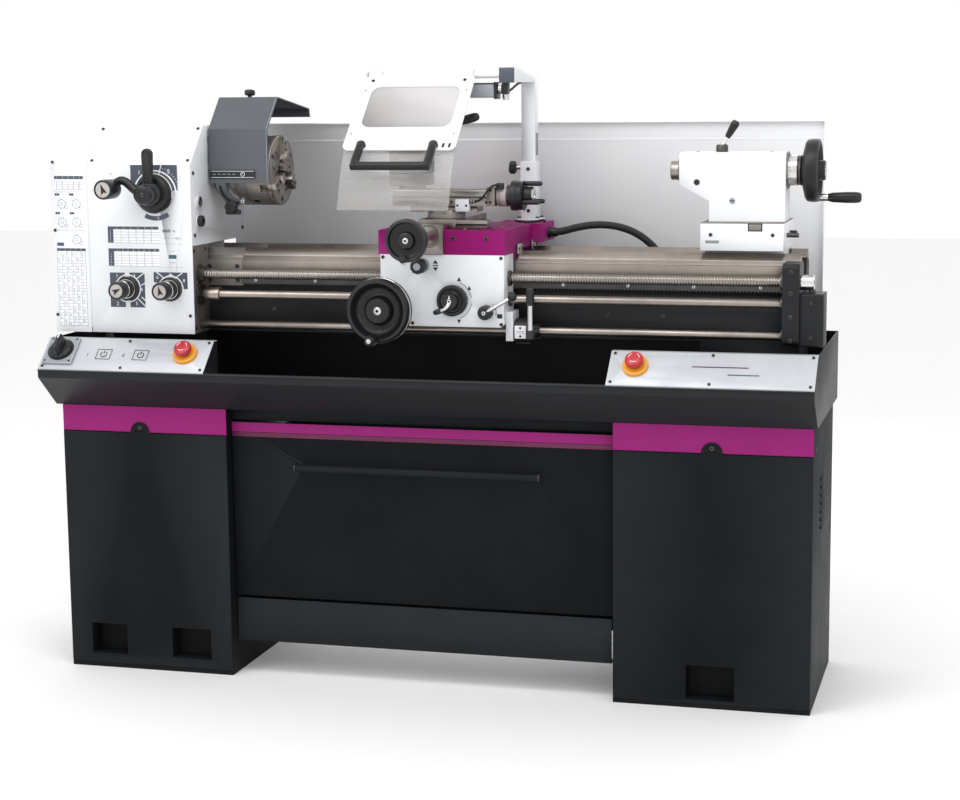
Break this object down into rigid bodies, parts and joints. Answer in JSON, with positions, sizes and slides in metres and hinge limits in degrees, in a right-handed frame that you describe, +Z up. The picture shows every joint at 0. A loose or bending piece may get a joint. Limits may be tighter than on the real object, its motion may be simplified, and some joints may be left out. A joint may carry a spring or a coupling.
{
  "type": "metal lathe",
  "caption": "Engine lathe on a twin-cabinet stand with chip tray, V-way bed, geared headstock, chuck, carriage with compound slide, swing shield and tailstock.",
  "frame": {"origin": "on the floor, at the centre of the four outer floor anchors", "axes": "+X from headstock to tailstock along the spindle axis, +Y away from the operator, +Z up"},
  "size_m": [1.814, 0.633, 1.377],
  "materials": {
    "white_paint": "satin white stove enamel",
    "charcoal_paint": "charcoal fine texture paint",
    "black_paint": "satin black paint",
    "purple_paint": "purple gloss paint",
    "slate_paint": "slate grey paint",
    "cast_iron": "ground ways over painted casting",
    "machined_steel": "turned and ground steel",
    "silver_plate": "satin anodised plate",
    "black_plastic": "moulded phenolic",
    "red_plastic": "moulded red plastic",
    "clear_sheet": "clear polycarbonate",
    "belt_rubber": "rubber",
    "conduit_plastic": "corrugated nylon conduit"
  },
  "bodies": {
    "machine": {"left_cabinet": "charcoal_paint", "right_cabinet": "charcoal_paint", "cabinet_covers": "charcoal_paint", "crossbeam_frame": "purple_paint", "chip_tray": "black_paint", "console_housings": "black_paint", "console_plates": "silver_plate", "splash_guard": "white_paint", "bed": "cast_iron", "gap_bridge": "cast_iron", "gear_rack": "machined_steel", "headstock_casting": "white_paint", "headstock_front_plate": "white_paint", "feed_gearbox": "black_paint", "spindle_bearings": "machined_steel", "rod_end_bracket": "black_paint", "limit_switch_box": "black_paint", "drive_motor": "charcoal_paint", "drive_belts": "belt_rubber"},
    "end_cover": {"end_gear_cover": "white_paint"},
    "spindle_unit": {"spindle": "machined_steel", "chuck_body": "machined_steel"},
    "jaw_a": {"jaw_1": "machined_steel"},
    "jaw_b": {"jaw_2": "machined_steel"},
    "jaw_c": {"jaw_3": "machined_steel"},
    "guard": {"chuck_guard": "slate_paint"},
    "speed": {"speed_lever": "black_plastic"},
    "range": {"range_lever": "black_plastic"},
    "knob_left": {"feed_knob_left": "black_plastic"},
    "knob_right": {"feed_knob_right": "black_plastic"},
    "main_switch": {"main_switch_knob": "black_plastic"},
    "stop_left": {"estop_left": "red_plastic"},
    "stop_right": {"estop_right": "red_plastic"},
    "lead": {"leadscrew": "machined_steel"},
    "feed": {"feed_rod": "machined_steel"},
    "control_shaft": {"control_rod": "machined_steel"},
    "carriage": {"saddle": "purple_paint", "apron": "white_paint", "shield_arm": "white_paint", "cable_conduit": "conduit_plastic"},
    "carriage_wheel": {"carriage_handwheel": "black_plastic"},
    "cross": {"cross_slide": "machined_steel"},
    "cross_wheel": {"cross_handwheel": "black_plastic"},
    "compound": {"compound_base": "machined_steel"},
    "top": {"top_slide": "machined_steel"},
    "top_wheel": {"top_slide_handwheel": "black_plastic"},
    "post": {"tool_post": "machined_steel"},
    "post_lever": {"tool_post_lever": "black_plastic"},
    "shield": {"shield_frame": "white_paint", "shield_sheet": "clear_sheet"},
    "selector": {"feed_selector": "black_plastic"},
    "half_nut": {"half_nut_lever": "black_plastic"},
    "direction": {"feed_direction_knob": "black_plastic"},
    "start_lever": {"control_lever": "black_plastic"},
    "tailstock": {"tailstock_body": "white_paint"},
    "quill_unit": {"quill": "machined_steel"},
    "tail_wheel": {"tailstock_handwheel": "black_plastic"},
    "quill_lock": {"quill_lock_lever": "black_plastic"},
    "drawer": {"chip_drawer": "charcoal_paint"},
    "treadle": {"brake_treadle": "charcoal_paint"}
  },
  "joints": [
    {"name": "end_cover_hinge", "type": "hinge", "parent": "machine", "child": "end_cover", "pos_m": [-0.791, 0.136, 1.15], "axis": [0, 0, -1], "range_deg": [0, 100]},
    {"name": "spindle_spin", "type": "hinge", "parent": "machine", "child": "spindle_unit", "pos_m": [-0.5, 0, 1.15], "axis": [1, 0, 0], "continuous": true},
    {"name": "jaw_1_slide", "type": "slide", "parent": "spindle_unit", "child": "jaw_a", "axis": [0, 0, 1], "range_m": [-0.012, 0.008]},
    {"name": "jaw_2_slide", "type": "slide", "parent": "spindle_unit", "child": "jaw_b", "axis": [0, -0.866, -0.5], "range_m": [-0.012, 0.008]},
    {"name": "jaw_3_slide", "type": "slide", "parent": "spindle_unit", "child": "jaw_c", "axis": [0, 0.866, -0.5], "range_m": [-0.012, 0.008]},
    {"name": "chuck_guard_hinge", "type": "hinge", "parent": "machine", "child": "guard", "pos_m": [-0.53, 0.1, 1.222], "axis": [-1, 0, 0], "range_deg": [0, 60]},
    {"name": "speed_lever_turn", "type": "hinge", "parent": "machine", "child": "speed", "pos_m": [-0.623, -0.2, 1.105], "axis": [0, 1, 0], "range_deg": [-60, 60]},
    {"name": "range_lever_turn", "type": "hinge", "parent": "machine", "child": "range", "pos_m": [-0.623, -0.25, 1.105], "axis": [0, 1, 0], "range_deg": [-10, 70]},
    {"name": "feed_knob_left_turn", "type": "hinge", "parent": "machine", "child": "knob_left", "pos_m": [-0.698, -0.2, 0.889], "axis": [0, 1, 0], "range_deg": [-90, 90]},
    {"name": "feed_knob_right_turn", "type": "hinge", "parent": "machine", "child": "knob_right", "pos_m": [-0.592, -0.2, 0.889], "axis": [0, 1, 0], "range_deg": [-90, 90]},
    {"name": "main_switch_turn", "type": "hinge", "parent": "machine", "child": "main_switch", "pos_m": [-0.833, -0.26172, 0.7485], "axis": [0, -0.6748, 0.738], "range_deg": [0, 90]},
    {"name": "estop_left_press", "type": "slide", "parent": "machine", "child": "stop_left", "axis": [0, 0.6748, -0.738], "range_m": [0, 0.0035], "stiffness_N_per_m": 800, "springref_m": -0.004},
    {"name": "estop_right_press", "type": "slide", "parent": "machine", "child": "stop_right", "axis": [0, 0.6748, -0.738], "range_m": [0, 0.0035], "stiffness_N_per_m": 800, "springref_m": -0.004},
    {"name": "leadscrew_spin", "type": "hinge", "parent": "machine", "child": "lead", "pos_m": [0, -0.145, 0.921], "axis": [1, 0, 0], "continuous": true},
    {"name": "feed_rod_spin", "type": "hinge", "parent": "machine", "child": "feed", "pos_m": [0, -0.145, 0.875], "axis": [1, 0, 0], "continuous": true},
    {"name": "control_rod_turn", "type": "hinge", "parent": "machine", "child": "control_shaft", "pos_m": [0, -0.145, 0.806], "axis": [1, 0, 0], "range_deg": [-12, 12]},
    {"name": "carriage_slide", "type": "slide", "parent": "machine", "child": "carriage", "axis": [1, 0, 0], "range_m": [-0.22, 0.26]},
    {"name": "carriage_wheel_turn", "type": "hinge", "parent": "carriage", "child": "carriage_wheel", "pos_m": [-0.072, -0.26, 0.858], "axis": [0, 1, 0], "range_deg": [-3960, 4680]},
    {"name": "cross_slide_feed", "type": "slide", "parent": "carriage", "child": "cross", "axis": [0, 1, 0], "range_m": [-0.02, 0.06]},
    {"name": "cross_wheel_turn", "type": "hinge", "parent": "carriage", "child": "cross_wheel", "pos_m": [0.022, -0.35, 1.017], "axis": [0, 1, 0], "range_deg": [-1800, 5400]},
    {"name": "compound_swivel", "type": "hinge", "parent": "cross", "child": "compound", "pos_m": [0.027, -0.07, 1.05], "axis": [0, 0, 1], "range_deg": [-30, 20]},
    {"name": "top_slide_feed", "type": "slide", "parent": "compound", "child": "top", "axis": [1, 0, 0], "range_m": [-0.03, 0.039]},
    {"name": "top_wheel_turn", "type": "hinge", "parent": "top", "child": "top_wheel", "pos_m": [0.19, -0.07, 1.097], "axis": [1, 0, 0], "range_deg": [-3600, 4680]},
    {"name": "tool_post_index", "type": "hinge", "parent": "top", "child": "post", "pos_m": [-0.053, -0.07, 1.15], "axis": [0, 0, 1], "continuous": true},
    {"name": "tool_post_lever_turn", "type": "hinge", "parent": "top", "child": "post_lever", "pos_m": [-0.053, -0.07, 1.23], "axis": [0, 0, 1], "range_deg": [0, 90]},
    {"name": "shield_hinge", "type": "hinge", "parent": "carriage", "child": "shield", "pos_m": [0, -0.045, 1.361], "axis": [-1, 0, 0], "range_deg": [0, 75]},
    {"name": "feed_selector_turn", "type": "hinge", "parent": "carriage", "child": "selector", "pos_m": [0.073, -0.2, 0.875], "axis": [0, 1, 0], "range_deg": [-45, 45]},
    {"name": "half_nut_turn", "type": "hinge", "parent": "carriage", "child": "half_nut", "pos_m": [0.148, -0.2, 0.85], "axis": [0, 1, 0], "range_deg": [0, 30]},
    {"name": "feed_direction_push", "type": "slide", "parent": "carriage", "child": "direction", "axis": [0, 1, 0], "range_m": [-0.01, 0.008]},
    {"name": "start_lever_turn", "type": "hinge", "parent": "carriage", "child": "start_lever", "pos_m": [0.23, -0.145, 0.806], "axis": [1, 0, 0], "range_deg": [-12, 12]},
    {"name": "tailstock_slide", "type": "slide", "parent": "machine", "child": "tailstock", "axis": [1, 0, 0], "range_m": [-0.25, 0.03]},
    {"name": "quill_slide", "type": "slide", "parent": "tailstock", "child": "quill_unit", "axis": [1, 0, 0], "range_m": [-0.1, 0.015]},
    {"name": "tail_wheel_turn", "type": "hinge", "parent": "tailstock", "child": "tail_wheel", "pos_m": [0.82, 0, 1.15], "axis": [1, 0, 0], "range_deg": [-7200, 1080]},
    {"name": "quill_lock_turn", "type": "hinge", "parent": "tailstock", "child": "quill_lock", "pos_m": [0.632, 0, 1.2], "axis": [0, 0, 1], "range_deg": [-60, 60]},
    {"name": "drawer_slide", "type": "slide", "parent": "machine", "child": "drawer", "axis": [0, -1, 0], "range_m": [0, 0.3]},
    {"name": "treadle_hinge", "type": "hinge", "parent": "machine", "child": "treadle", "pos_m": [0, -0.06, 0.13], "axis": [1, 0, 0], "range_deg": [0, 10], "stiffness_Nm_per_rad": 60, "springref_deg": -14.32}
  ],
  "couplings": [
    {"joint": "jaw_2_slide", "follows": "jaw_1_slide", "ratio": 1},
    {"joint": "jaw_3_slide", "follows": "jaw_1_slide", "ratio": 1},
    {"joint": "carriage_wheel_turn", "follows": "carriage_slide", "rad_per_m": 314.16},
    {"joint": "cross_wheel_turn", "follows": "cross_slide_feed", "rad_per_m": 1570.8},
    {"joint": "top_wheel_turn", "follows": "top_slide_feed", "rad_per_m": 2094.4},
    {"joint": "tail_wheel_turn", "follows": "quill_slide", "rad_per_m": 1256.6},
    {"joint": "control_rod_turn", "follows": "start_lever_turn", "ratio": 1}
  ]
}
